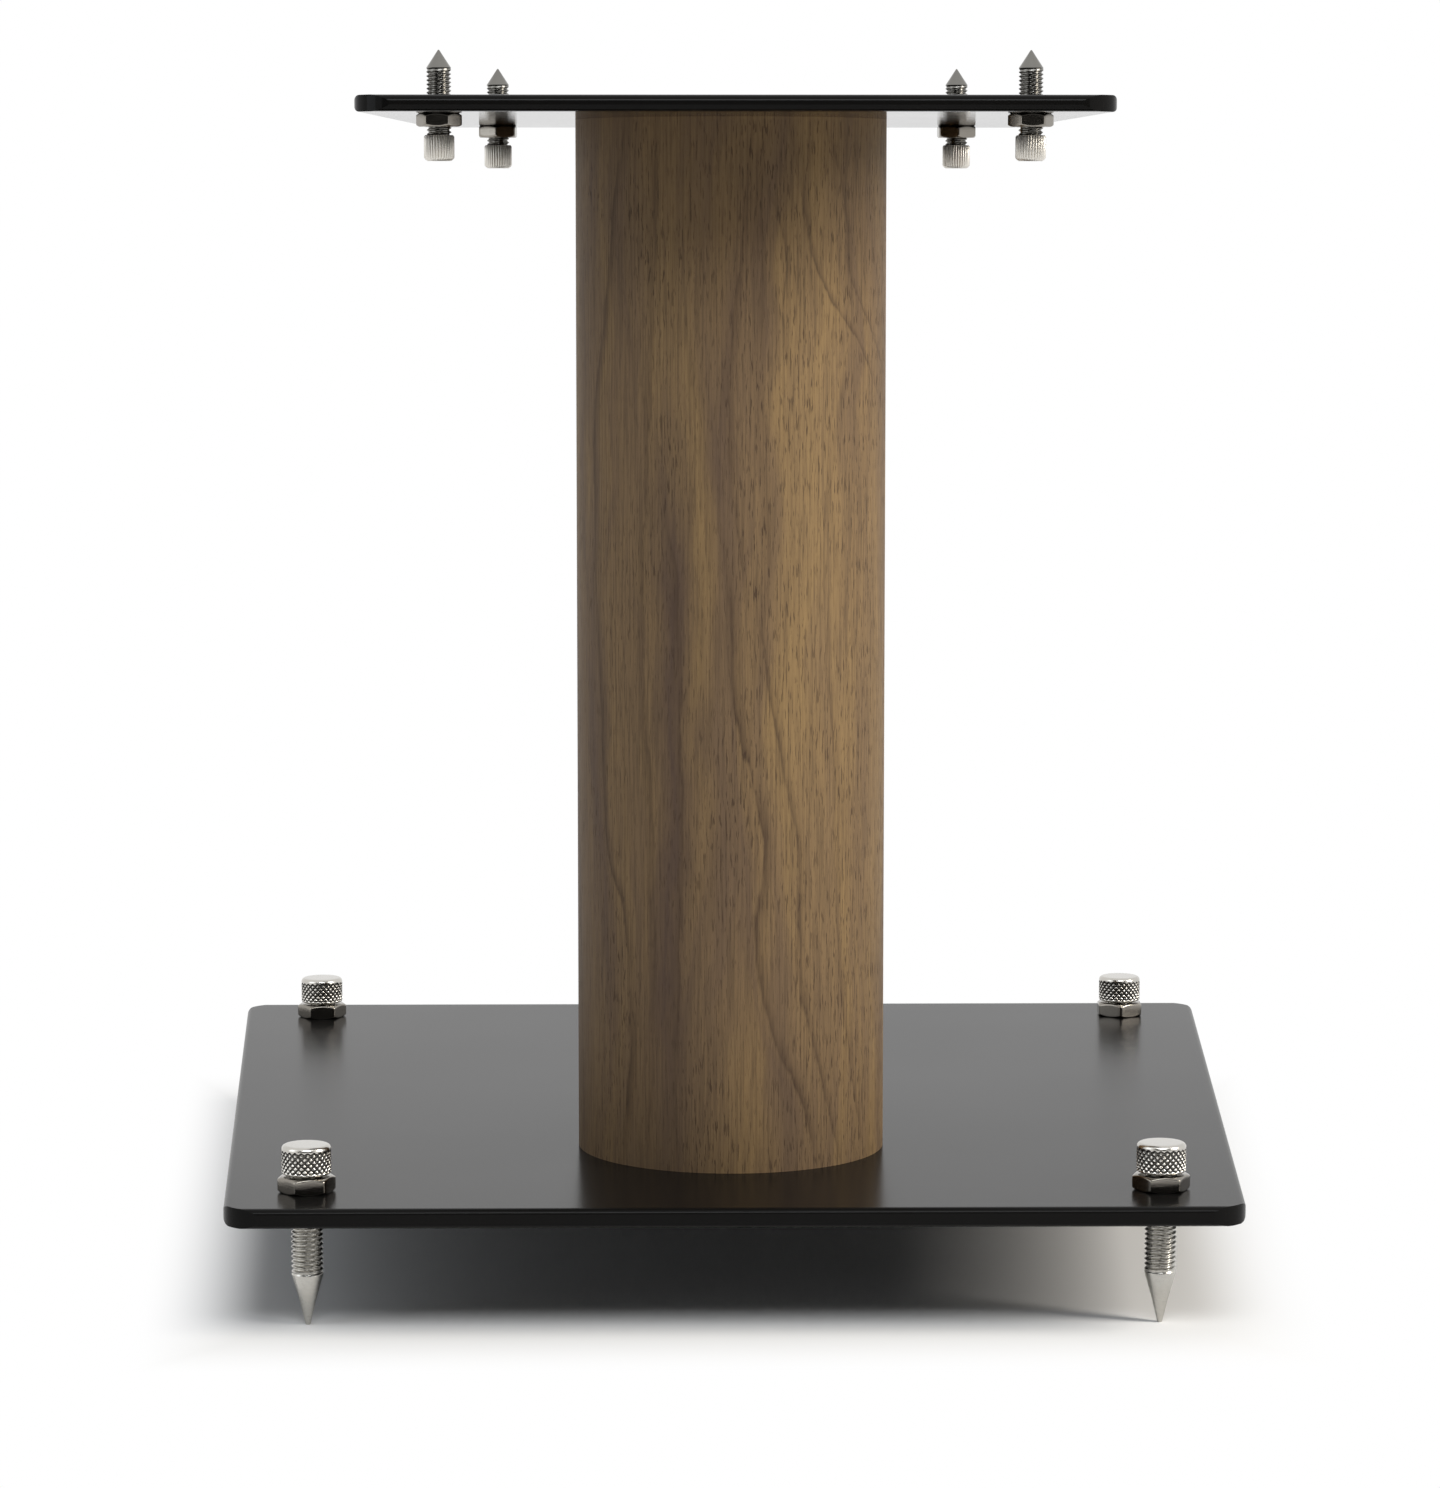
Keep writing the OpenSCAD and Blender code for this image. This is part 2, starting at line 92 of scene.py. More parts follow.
class StandFinishes(bpy.types.PropertyGroup):
    """Colours of the finishes"""
    lacquer: bpy.props.FloatVectorProperty(
        name="Lacquer", description="Gloss lacquer of the two plates",
        default=(0.0042, 0.0040, 0.0038), size=3, subtype="COLOR")
    veneer_pale: bpy.props.FloatVectorProperty(
        name="Pale veneer", description="Golden zones of the walnut veneer",
        default=(0.235, 0.152, 0.068), size=3, subtype="COLOR")
    veneer_dark: bpy.props.FloatVectorProperty(
        name="Dark veneer", description="Grey-brown zones of the walnut veneer",
        default=(0.128, 0.084, 0.053), size=3, subtype="COLOR")
    veneer_murk: bpy.props.FloatVectorProperty(
        name="Murky veneer", description="Broad purplish zones of the walnut veneer",
        default=(0.080, 0.052, 0.040), size=3, subtype="COLOR")
    veneer_line: bpy.props.FloatVectorProperty(
        name="Veneer lines", description="Growth lines and pores of the walnut veneer",
        default=(0.055, 0.034, 0.022), size=3, subtype="COLOR")
    nickel: bpy.props.FloatVectorProperty(
        name="Nickel", description="Satin nickel of the caps and heads",
        default=(0.56, 0.54, 0.50), size=3, subtype="COLOR")
    dark_nickel: bpy.props.FloatVectorProperty(
        name="Dark nickel", description="Polished dark nickel of the locknuts",
        default=(0.27, 0.25, 0.22), size=3, subtype="COLOR")
    steel: bpy.props.FloatVectorProperty(
        name="Steel", description="Plated steel of the spikes",
        default=(0.50, 0.485, 0.45), size=3, subtype="COLOR")
    board: bpy.props.FloatVectorProperty(
        name="Board", description="Fibreboard of the tube and its plugs",
        default=(0.42, 0.30, 0.19), size=3, subtype="COLOR")
    brass: bpy.props.FloatVectorProperty(
        name="Brass", description="Brass of the threaded inserts",
        default=(0.72, 0.55, 0.28), size=3, subtype="COLOR")
    zinc: bpy.props.FloatVectorProperty(
        name="Zinc", description="Zinc plate of the countersunk screws",
        default=(0.55, 0.56, 0.57), size=3, subtype="COLOR")


class StageValues(bpy.types.PropertyGroup):
    """Camera, floor and lamps"""
    camera_distance: bpy.props.FloatProperty(
        name="Camera distance", description="From the column's axis to the camera, along the floor",
        default=1.183, unit="LENGTH")
    camera_aside: bpy.props.FloatProperty(
        name="Camera aside", description="The camera's place to the right of the column",
        default=-0.018, unit="LENGTH")
    camera_pan: bpy.props.FloatProperty(
        name="Camera pan", description="How far the camera looks to the right",
        default=float(np.radians(0.734)), subtype="ANGLE")
    camera_height: bpy.props.FloatProperty(
        name="Camera height", description="Height of the camera above the base plate's top",
        default=0.2390, unit="LENGTH")
    camera_pitch: bpy.props.FloatProperty(
        name="Camera pitch", description="How far the camera looks down",
        default=float(np.radians(6.43)), subtype="ANGLE")
    camera_lens: bpy.props.FloatProperty(
        name="Lens", description="Focal length in millimetres on a 36 mm sensor", default=110.39)
    key_strength: bpy.props.FloatProperty(
        name="Key lamp", description="Power of the soft lamp at the right", default=29.0, unit="POWER")
    fill_strength: bpy.props.FloatProperty(
        name="Fill lamp", description="Power of the soft lamp at the left", default=3.6, unit="POWER")
    top_strength: bpy.props.FloatProperty(
        name="Top lamp", description="Power of the soft lamp above the front", default=13.0, unit="POWER")
    sky_strength: bpy.props.FloatProperty(
        name="Sky", description="Strength of the even light all round", default=0.27)
    card_width: bpy.props.FloatProperty(
        name="Dark card", description="Width of the dark card behind the camera, which only reflections show",
        default=2.8, unit="LENGTH")
    shadow_reach: bpy.props.FloatProperty(
        name="Shadow reach", description="From the base's outline to where the floor is plain white",
        default=0.034, unit="LENGTH")


# Shader maths

class Socket:
    """Wraps a node's output, so that an expression on values adds the Math nodes it needs"""

    def __init__(self, tree, link):
        self.tree = tree
        self.link = link

    def _math(self, operation, *values):
        return self.tree.node("ShaderNodeMath", {"operation": operation}, dict(enumerate(values)))

    def __add__(self, other): return self._math("ADD", self, other)
    def __radd__(self, other): return self._math("ADD", other, self)
    def __sub__(self, other): return self._math("SUBTRACT", self, other)
    def __rsub__(self, other): return self._math("SUBTRACT", other, self)
    def __mul__(self, other): return self._math("MULTIPLY", self, other)
    def __rmul__(self, other): return self._math("MULTIPLY", other, self)
    def __truediv__(self, other): return self._math("DIVIDE", self, other)
    def absolute(self): return self._math("ABSOLUTE", self)
    def fraction(self): return self._math("FRACT", self)
    def arctan2(self, other): return self._math("ARCTAN2", self, other)
    def low_cut(self, other): return self._math("MAXIMUM", self, other)
    def high_cut(self, other): return self._math("MINIMUM", self, other)
    def clamped(self): return self.low_cut(0.0).high_cut(1.0)


class Tree:
    """The nodes of a material or a world"""

    def __init__(self, owner):
        owner.use_nodes = True
        self.nodes = owner.node_tree.nodes
        self.links = owner.node_tree.links

    def node(self, kind, settings=None, sockets=None, output=0):
        """Adds a node: first its settings, a curve's knots among them, then its sockets' values or links"""
        made = self.nodes.new(kind)
        for key, value in (settings or {}).items():
            if key == "knots":
                made.mapping.extend = "HORIZONTAL"
                knots = made.mapping.curves[0].points
                while len(knots) < len(value):
                    knots.new(0.5, 0.5)
                for knot, spot in zip(knots, value):
                    knot.location = spot
                made.mapping.update()
            else:
                setattr(made, key, value)
        for key, value in (sockets or {}).items():
            self.feed(made, key, value)
        return Socket(self, made.outputs[output])

    def feed(self, node, key, value):
        """Links a socket to a node's input, or writes a plain value there"""
        if isinstance(value, Socket):
            self.links.new(value.link, node.inputs[key])
        else:
            node.inputs[key].default_value = value

    def background_rays(self):
        """1 for a ray that shows the background, by sight, in gloss or through glass, and 0 for light"""
        camera, glossy, transmission = [self.node("ShaderNodeLightPath", output=kind) for kind in BACKGROUND_RAYS]
        return camera.low_cut(glossy).low_cut(transmission)


class Finish(Tree):
    """A material: set puts values or sockets on its shader"""

    def __init__(self, name):
        self.material = bpy.data.materials.new(name)
        super().__init__(self.material)
        self.shader = self.nodes["Principled BSDF"]

    def place(self):
        """A point's place on the object"""
        return self.node("ShaderNodeTexCoord", output="Object")

    def wrap(self):
        """Turns round the piece and millimetres along its profile, from its own UV map"""
        return self.split(self.node("ShaderNodeTexCoord", output="UV"))[:2]

    def split(self, vector):
        return [Socket(self, part) for part in self.node("ShaderNodeSeparateXYZ", {}, {0: vector}).link.node.outputs]

    def join(self, x, y, z):
        return self.node("ShaderNodeCombineXYZ", {}, {"X": x, "Y": y, "Z": z})

    def noise(self, vector, scale, detail=4.0, roughness=0.55):
        return self.node("ShaderNodeTexNoise", {}, {
            "Vector": vector, "Scale": scale, "Detail": detail, "Roughness": roughness})

    def curve(self, value, knots):
        """Reads a drawn curve through knots of a place and a height, both from 0 to 1"""
        return self.node("ShaderNodeFloatCurve", {"knots": knots}, {"Value": value})

    def blend(self, share, first, second):
        """Mixes two colours by a share"""
        return self.node("ShaderNodeMix", {"data_type": "RGBA"}, {0: share, 6: first, 7: second}, output=2)

    def bump(self, height, strength, distance, normal=None):
        sockets = {"Height": height, "Strength": strength, "Distance": distance}
        if normal is not None:
            sockets["Normal"] = normal
        return self.node("ShaderNodeBump", {}, sockets)

    def set(self, **values):
        for key, value in values.items():
            self.feed(self.shader, key.replace("_", " "), value)
        return self.material


def span(node):
    """A CAD node's lowest and highest corners, as arrays"""
    low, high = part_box(node)
    return np.array(low), np.array(high)


def rgba(colour, lift=1.0):
    """A colour, lighter or darker by a factor"""
    return (colour[0] * lift, colour[1] * lift, colour[2] * lift, 1.0)


def dress(node, material):
    """Gives a CAD node's object one material in every slot"""
    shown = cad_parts[node]
    if not shown.material_slots:
        shown.data.materials.append(material)
    for place in shown.material_slots:
        place.material = material


def floor_finish(reach):
    """White floor: lit as it is under and close to the base, so that the shadow shows, and plain white for
    the camera, for reflections and through glass from there on. The way past the base's tapered outline
    counts in full at its sides, and by a share of it in front and behind"""
    front_share, rear_share, start, rim = 0.8, 0.33, 0.34, 0.012
    low, high = span("base_plate")
    points = solid_points("base_plate")
    front_half = float(points[points[:, 1] < low[1] + rim, 0].max())
    rear_half = float(points[points[:, 1] > high[1] - rim, 0].max())
    finish = Finish("white_floor")
    x, y, _ = finish.split(finish.place())
    half = (y - float(low[1])) * ((rear_half - front_half) / float(high[1] - low[1])) + front_half
    behind = (y - float(high[1])) * rear_share
    before = (float(low[1]) - y) * front_share
    beyond = (x.absolute() - half).low_cut(behind).low_cut(before)
    clear = (beyond / reach + start).clamped()
    clear = clear * clear * (3.0 - 2.0 * clear)
    patches = finish.noise(finish.place(), 2.0, 2.0)
    finish.set(Base_Color=finish.blend(patches, rgba((0.93, 0.93, 0.93)), rgba((0.95, 0.95, 0.95))), Roughness=0.9)
    white = finish.node("ShaderNodeEmission", {}, {"Strength": 1.0})
    lit = Socket(finish, finish.shader.outputs[0])
    shown = finish.node("ShaderNodeMixShader", {}, {0: clear * finish.background_rays(), 1: lit, 2: white})
    finish.feed(finish.nodes["Material Output"], "Surface", shown)
    return finish.material


def card_finish():
    """Black cloth of the card that only reflections show"""
    cloth = Finish("dark_card")
    weave = cloth.noise(cloth.place(), 40.0, 2.0)
    return cloth.set(Base_Color=cloth.blend(weave, rgba((0.02, 0.02, 0.02)), rgba((0.04, 0.04, 0.04))), Roughness=0.9)


def lacquer_finish(name, rough):
    """Black lacquer: near-black, with a faint orange peel"""
    colours = bpy.context.scene.stand_finishes
    finish = Finish(name)
    place = finish.place()
    peel = finish.noise(place, 420.0, 2.0)
    grain = finish.noise(place, 2600.0, 2.0)
    haze = finish.noise(place, 9.0, 3.0)
    finish.set(IOR=1.42, Specular_IOR_Level=0.09)
    return finish.set(
        Base_Color=finish.blend(haze, rgba(colours.lacquer), rgba(colours.lacquer, 1.4)),
        Roughness=rough + 0.05 * haze,
        Normal=finish.bump(grain, 0.06, 0.0001, finish.bump(peel, 0.05, 0.0002)))


# The veneer's figure, given as strength, widths in millimetres, and the points that a zone or a line
# runs through, each the share of the height from the top and millimetres round from the front
DRAWN_WIDTH = 260.0
QUARTER_ROUND = 63.0
BROAD_ZONES = (
    (0.85, 11.0, ((0.25, -18.0), (0.45, -16.0), (0.65, -15.0), (0.80, -18.0), (1.00, -14.0))),
    (0.55, 6.0, ((0.00, -44.0), (0.30, -50.0), (0.60, -44.0), (0.80, -36.0), (1.00, -38.0))),
    (0.45, 7.0, ((0.00, 0.0), (0.10, 2.0), (0.30, -3.0), (0.50, -2.0))),
    (0.50, 4.0, ((0.62, 2.0), (0.75, 4.0), (0.85, 7.0), (0.93, 14.0), (1.00, 20.0))),
    (0.60, 9.0, ((0.00, 84.0), (0.40, 90.0), (0.70, 80.0), (1.00, 86.0))),
    (0.60, 9.0, ((0.00, -92.0), (0.40, -88.0), (0.70, -95.0), (1.00, -90.0))),
)
GROWTH_LINES = (
    (0.74, 1.0, 3.9, ((0.00, -30.0), (0.18, -37.5), (0.27, -42.0), (0.54, -40.0), (0.69, -37.0),
        (0.76, -30.5), (1.00, -31.5))),
    (0.35, 1.0, -3.9, ((0.00, 8.0), (0.20, 7.5), (0.42, 9.0), (0.55, 7.0))),
    (0.70, 0.9, 2.8, ((0.00, 14.5), (0.03, 15.2), (0.09, 18.8), (0.13, 20.9), (0.17, 27.2), (0.21, 36.4),
        (0.30, 58.0))),
    (0.58, 0.8, 2.5, ((0.00, 23.5), (0.10, 32.5), (0.15, 33.3), (0.19, 41.4), (0.27, 60.0))),
    (0.58, 0.7, 1.9, ((0.06, 8.0), (0.13, 13.0), (0.18, 11.8), (0.24, 14.0))),
    (0.51, 0.7, 2.2, ((0.00, 4.0), (0.06, 3.2), (0.17, 0.8), (0.27, -1.3), (0.38, 0.8), (0.46, 3.0))),
    (0.62, 0.8, -2.8, ((0.38, -17.0), (0.50, -13.9), (0.68, -13.0), (0.84, -15.0), (1.00, -13.5))),
    (0.78, 1.0, 3.9, ((0.40, -3.0), (0.50, -0.6), (0.58, 1.3), (0.62, 4.6), (0.70, 7.3), (0.78, 5.9),
        (0.85, 9.3), (0.92, 16.2), (1.00, 23.5))),
    (0.66, 0.9, 2.8, ((0.42, 5.0), (0.54, 9.3), (0.59, 12.0), (0.68, 16.2), (0.80, 17.6), (0.87, 20.6),
        (0.93, 26.0), (1.00, 31.0))),
    (0.47, 0.7, 2.8, ((0.30, 26.0), (0.45, 24.5), (0.62, 28.0), (0.80, 30.0), (1.00, 41.0))),
    (0.51, 0.8, -3.3, ((0.00, -19.0), (0.25, -22.0), (0.50, -24.0), (0.75, -21.0), (1.00, -22.5))),
    (0.55, 1.0, 3.3, ((0.00, -55.0), (0.30, -60.0), (0.60, -57.0), (1.00, -52.0))),
    (0.66, 1.0, 3.9, ((0.00, 72.0), (0.35, 78.0), (0.70, 70.0), (1.00, 66.0))),
    (0.70, 1.0, -4.4, ((0.00, 96.0), (0.20, 102.0), (0.55, 92.0), (0.80, 97.0), (1.00, 104.0))),
    (0.62, 0.9, 3.3, ((0.00, -78.0), (0.25, -84.0), (0.60, -74.0), (1.00, -80.0))),
    (0.70, 1.0, 3.3, ((0.00, -104.0), (0.40, -96.0), (0.75, -103.0), (1.00, -99.0))),
)


def veneer_finish(low, high):
    """Walnut veneer, drawn on millimetres round the column from its front against millimetres from its
    top: broad zones, paler towards the column's right side as painted light where the key lamp falls,
    the growth lines of the table above, each dark at its edge with a shade to one side, fine fibres and short dark
    pores"""
    colours = bpy.context.scene.stand_finishes
    finish = Finish("walnut_veneer")
    x, y, z = finish.split(finish.place())
    middle = (low + high) / 2
    radius = float(high[0] - low[0]) / 2
    height = float(high[2] - low[2])
    around = (x - float(middle[0])).arctan2(float(middle[1]) - y) * (radius * MILLIMETRES)
    down = (float(high[2]) - z) / height
    tall = down * (height * MILLIMETRES)
    rightward = (around / QUARTER_ROUND).high_cut(1.0).low_cut(-1.0)

    def field(across, along, seed, detail=3.0, rough=0.55):
        """Noise with its own scale round the column and down it"""
        return finish.noise(finish.join(around * across, seed, tall * along), 1.0, detail, rough)

    def part(value, start, slope):
        """0 up to a start, and from there rising by the slope to 1"""
        return ((value - start) * slope).clamped()

    def drawn(points, wander, first, second, fade):
        """How dark a drawn line is here: full on the line, down to nothing at its first width on its one
        side and its second on the other, and faded in and out at its ends"""
        overrun = 0.02
        run = finish.curve(down, [(place, 0.5 + offset / DRAWN_WIDTH) for place, offset in points])
        gap = around - (run - 0.5) * DRAWN_WIDTH + wander
        dark = (1.0 - gap / second).high_cut(1.0 + gap / first).clamped()
        begun = (down - (points[0][0] - overrun)) * fade
        unended = (points[-1][0] + overrun - down) * fade
        return dark * dark * begun.high_cut(unended).clamped()

    def darkest(layers):
        """The darkest of some layers at each point"""
        dark = layers[0]
        for layer in layers[1:]:
            dark = dark.low_cut(layer)
        return dark

    sway = field(0.03, 0.012, 40.0, 2.0) - 0.5
    ragged = (field(0.9, 0.10, 1.0, 4.0, 0.7) - 0.5) * 2.2 + (field(0.12, 0.03, 2.0, 2.0) - 0.5) * 5.0
    flow = around + sway * 30.0
    broad = finish.noise(finish.join(flow * 0.075, 3.0, tall * 0.0045), 1.0, 3.0, 0.6)
    figure = finish.noise(finish.join(flow * 0.30, 5.0, tall * 0.012), 1.0, 4.0, 0.65)
    fibre = field(1.6, 0.035, 7.0, 4.0, 0.7)
    lines = darkest([
        strength * drawn(points, ragged, *((edge, shade) if shade > 0 else (-shade, edge)), 14.0)
        for strength, edge, shade, points in GROWTH_LINES])
    murk = darkest([
        strength * drawn(points, ragged * 2.0, width, width, 5.0) for strength, width, points in BROAD_ZONES])
    lines = lines * part(field(0.30, 0.035, 9.0, 3.0), 0.26, 3.6)
    crowd = ((field(0.07, 0.02, 13.0, 2.0) - 0.38) * 4.0 + rightward * 0.6).clamped()
    pores = part(field(2.0, 0.19, 11.0, 2.0, 0.6), 0.555, 13.0) * (0.35 + 0.65 * crowd)
    specks = part(field(3.4, 0.5, 17.0, 2.0, 0.6), 0.60, 10.0)
    # Painted light: the pale share rises towards the right side of the column, where the key lamp falls
    pale_share_with_painted_light = ((broad - 0.33) * 2.8 + rightward * 0.16).clamped()
    wood = finish.blend(pale_share_with_painted_light, rgba(colours.veneer_dark), rgba(colours.veneer_pale))
    for share, colour in (
            (part(figure, 0.42, 3.4) * 0.32, rgba(colours.veneer_dark, 0.80)),
            (part(fibre, 0.43, 5.0) * 0.50, rgba(colours.veneer_dark, 0.52)),
            (murk, rgba(colours.veneer_murk)),
            (lines, rgba(colours.veneer_line)),
            (pores * 0.75, rgba(colours.veneer_line, 0.8)),
            (specks * 0.30, rgba(colours.veneer_line, 1.2))):
        wood = finish.blend(share, wood, colour)
    finish.set(IOR=1.45, Specular_IOR_Level=0.14)
    return finish.set(
        Base_Color=wood,
        Roughness=0.50 + 0.12 * fibre + 0.12 * pores,
        Normal=finish.bump(pores * -1.0 + fibre * 0.3, 0.35, 0.0002))


def metal_finish(name, colour, rough):
    """Plated metal: its colour and gloss wander a little, with fine scratches"""
    finish = Finish(name)
    place = finish.place()
    cloud = finish.noise(place, 180.0, 3.0)
    lines = finish.noise(finish.node(
        "ShaderNodeMapping", {}, {"Vector": place, "Scale": (1.0, 1.0, 7.0)}), 900.0, 2.0)
    finish.set(Metallic=1.0)
    return finish.set(
        Base_Color=finish.blend(cloud, rgba(colour, 0.9), rgba(colour, 1.06)),
        Roughness=rough + 0.1 * (cloud - 0.5) + 0.06 * lines,
        Normal=finish.bump(lines, 0.12, 0.00008))


def turned_finish(name, colour, rough):
    """Turned metal: rings follow the piece's own UV map, v along its profile in millimetres"""
    finish = Finish(name)
    turns, along = finish.wrap()
    cloud = finish.noise(finish.place(), 240.0, 3.0)
    rings = finish.noise(finish.join(turns * 3.0, along * 26.0, 0.0), 1.0, 3.0)
    finish.set(Metallic=1.0)
    return finish.set(
        Base_Color=finish.blend(cloud, rgba(colour, 0.93), rgba(colour, 1.04)),
        Roughness=rough + 0.08 * (rings - 0.5) + 0.05 * cloud,
        Normal=finish.bump(rings, 0.18, 0.00005))


def knurled_finish(name, colour, rough, count, diamond, height):
    """Turned metal, with a painted glint on the diamonds of a knurl and painted shade in its grooves. The same two
    waves as in knurled_cap say where the grooves are, from the piece's own wrap"""
    finish = Finish(name)
    turns, along = finish.wrap()
    cloud = finish.noise(finish.place(), 240.0, 3.0)
    rings = finish.noise(finish.join(turns * 3.0, along * 26.0, 0.0), 1.0, 3.0)

    def crest(phase):
        """A wave of straight runs, 1 in the middle of each turn of the phase and 0 at its ends"""
        return 1.0 - (2.0 * phase.fraction() - 1.0).absolute()

    whole_turns = 50.0
    crown = crest(turns * count + along / diamond).high_cut(crest(turns * count - along / diamond + whole_turns))
    cut = (along * 8.0).high_cut((height - along) * 4.0).clamped()
    # Painted shade: the grooves of the knurl are darkened to a tenth of the nickel, and the same mask makes them
    # rougher
    groove_and_painted_shade = ((0.32 - crown) * 6.0).clamped() * cut
    metal = finish.blend(cloud, rgba(colour, 0.93), rgba(colour, 1.04))
    # Painted glint: the crests of the diamonds are lightened to 1.4 times the nickel
    metal = finish.blend(((crown - 0.30) * 4.0).clamped() * cut, metal, rgba(colour, 1.40))
    finish.set(Metallic=1.0)
    return finish.set(
        Base_Color=finish.blend(groove_and_painted_shade, metal, rgba(colour, 0.10)),
        Roughness=rough + 0.06 * (rings - 0.5) + 0.05 * cloud + 0.12 * groove_and_painted_shade,
        Normal=finish.bump(rings, 0.18, 0.00005))


def board_finish():
    """Fibreboard: short pale and dark fibres in a brown ground"""
    colours = bpy.context.scene.stand_finishes
    finish = Finish("fibreboard")
    place = finish.place()
    fibres = finish.noise(place, 1400.0, 5.0, 0.7)
    cloud = finish.noise(place, 60.0, 3.0)
    return finish.set(
        Base_Color=finish.blend(0.6 * fibres + 0.4 * cloud, rgba(colours.board, 0.72), rgba(colours.board, 1.2)),
        Roughness=0.72 + 0.2 * fibres,
        Normal=finish.bump(fibres, 0.3, 0.0002))


# Surfaces

def put_mesh(node, ending, surface, material):
    """Puts a surface's points, quads and UVs into a mesh object that stands for a CAD node. A quad whose
    neighbouring corners are equal becomes a triangle"""
    points, faces, wraps = surface
    name = node + ending
    mesh = bpy.data.meshes.new(name)
    mesh.vertices.add(len(points))
    mesh.vertices.foreach_set("co", np.ascontiguousarray(points, dtype=np.float32).ravel())
    keep = faces != np.roll(faces, 1, axis=1)
    counts = keep.sum(axis=1)
    starts = np.concatenate([[0], np.cumsum(counts)[:-1]])
    mesh.loops.add(int(counts.sum()))
    mesh.polygons.add(len(faces))
    mesh.loops.foreach_set("vertex_index", faces[keep].astype(np.int32))
    mesh.polygons.foreach_set("loop_start", starts.astype(np.int32))
    mesh.uv_layers.new(name="wrap").data.foreach_set("uv", wraps[keep].astype(np.float32).ravel())
    mesh.update(calc_edges=True)
    mesh.validate()
    mesh.shade_smooth()
    mesh.set_sharp_from_angle(angle=np.radians(38.0))
    piece = bpy.data.objects.new(name, mesh)
    bpy.context.scene.collection.objects.link(piece)
    mesh.materials.append(material)
    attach(piece, node)
    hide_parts(node)


def turned_surface(centre, radii, heights, angles, origin=0):
    """A profile of radii and heights carried round an upright axis: each point is the centre plus
    radius times (cos, sin) of its angle, at its height. radii may vary with the angle too. A first or
    last radius of zero is one pole, shared by its ring's faces. The wrap is turns round the axis against
    millimetres along the profile, counted from the ring called origin"""
    rings, around = len(heights), len(angles)
    radii = np.broadcast_to(np.asarray(radii, float).reshape(rings, -1), (rings, around))
    grid = np.empty((rings, around, 3))
    grid[..., 0] = centre[0] + radii * np.cos(angles)
    grid[..., 1] = centre[1] + radii * np.sin(angles)
    grid[..., 2] = np.asarray(heights, float)[:, None]
    index = np.arange(rings * around).reshape(rings, around)
    for ring in (0, rings - 1):
        if not radii[ring].any():
            index[ring] = index[ring, 0]
    low, high = index[:-1], index[1:]
    faces = np.stack([low, np.roll(low, -1, 1), np.roll(high, -1, 1), high], axis=-1).reshape(-1, 4)
    mean = radii.mean(axis=1)
    along = np.concatenate([[0], np.cumsum(np.hypot(np.diff(mean), np.diff(heights)))]) * MILLIMETRES
    along = along - along[origin]
    u = np.arange(around + 1) / around
    uv = np.stack(np.broadcast_arrays(u[None, :], along[:, None]), axis=-1)
    wraps = np.stack([uv[:-1, :-1], uv[:-1, 1:], uv[1:, 1:], uv[1:, :-1]], axis=2).reshape(-1, 4, 2)
    used, faces = np.unique(faces, return_inverse=True)
    return grid.reshape(-1, 3)[used], faces.reshape(-1, 4), wraps


def thread_depth(angles, heights, pitch, depth, low, high):
    """How far a right-hand thread is cut in: a V wave in height over pitch less turns, with flat crests
    and roots, fading in above low and out below high"""
    phase = heights[:, None] / pitch - angles[None, :] / TURN
    wave = np.abs(2 * (phase % 1.0) - 1)
    crest, flank = 0.14, 0.66
    cut = np.clip((wave - crest) / flank, 0, 1)
    fade = np.clip((heights - low) / pitch, 0, 1) * np.clip((high - heights) / pitch, 0, 1)
    return depth * cut * fade[:, None]


def axis_and_radius(low, high):
    """The middle of a turned node's box and half of its width"""
    return (low + high) / 2, (high[0] - low[0]) / 2


def threaded_spike(node, pitch, point, blunt, upward, material):
    """A stud with a thread and a cone: cone and ends are straight runs of the profile, the thread is
    the stud's radius less thread_depth"""
    low, high = span(node)
    centre, radius = axis_and_radius(low, high)
    around, rows_a_turn, bevel = 48, 10, 0.0004
    angles = np.arange(around) * TURN / around
    depth = pitch * bpy.context.scene.stand_sizes.thread_depth_share
    if upward:
        body_low, body_high = low[2] + bevel, high[2] - point
        shares = (0.35, 0.7, 0.96)
        first = [(0.0, low[2]), (radius - bevel, low[2])]
        last = [(radius + (blunt - radius) * share, body_high + point * share) for share in shares]
        last += [(blunt * 0.8, high[2]), (0.0, high[2])]
    else:
        body_low, body_high = low[2] + point, high[2] - bevel
        first = [(0.0, low[2]), (blunt * 0.8, low[2]), (blunt * 1.1, low[2] + point * 0.015),
                 (radius * 0.5, low[2] + point * 0.45)]
        last = [(radius - bevel, high[2]), (0.0, high[2])]
    first, last = np.array(first), np.array(last)
    body = np.linspace(body_low, body_high, int((body_high - body_low) / pitch * rows_a_turn))
    cut = thread_depth(angles, body, pitch, depth, body_low, body_high)
    heights = np.concatenate([first[:, 1], body, last[:, 1]])
    radii = np.concatenate([
        np.repeat(first[:, :1], around, axis=1), radius - cut, np.repeat(last[:, :1], around, axis=1)])
    put_mesh(node, "_threaded", turned_surface(centre, radii, heights, angles), material)


def soft_least(first, second, softness):
    """The lower of two surfaces, rounded over where they cross: half their sum less half the root of
    their difference squared plus softness squared"""
    return (first + second - np.sqrt((first - second) ** 2 + softness ** 2)) / 2


def solid_points(node):
    """The vertices of a CAD node's own mesh, in the frame"""
    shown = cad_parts[node]
    points = np.empty(len(shown.data.vertices) * 3)
    shown.data.vertices.foreach_get("co", points)
    turn = np.array(shown.matrix_world)
    return points.reshape(-1, 3) @ turn[:3, :3].T + turn[:3, 3]


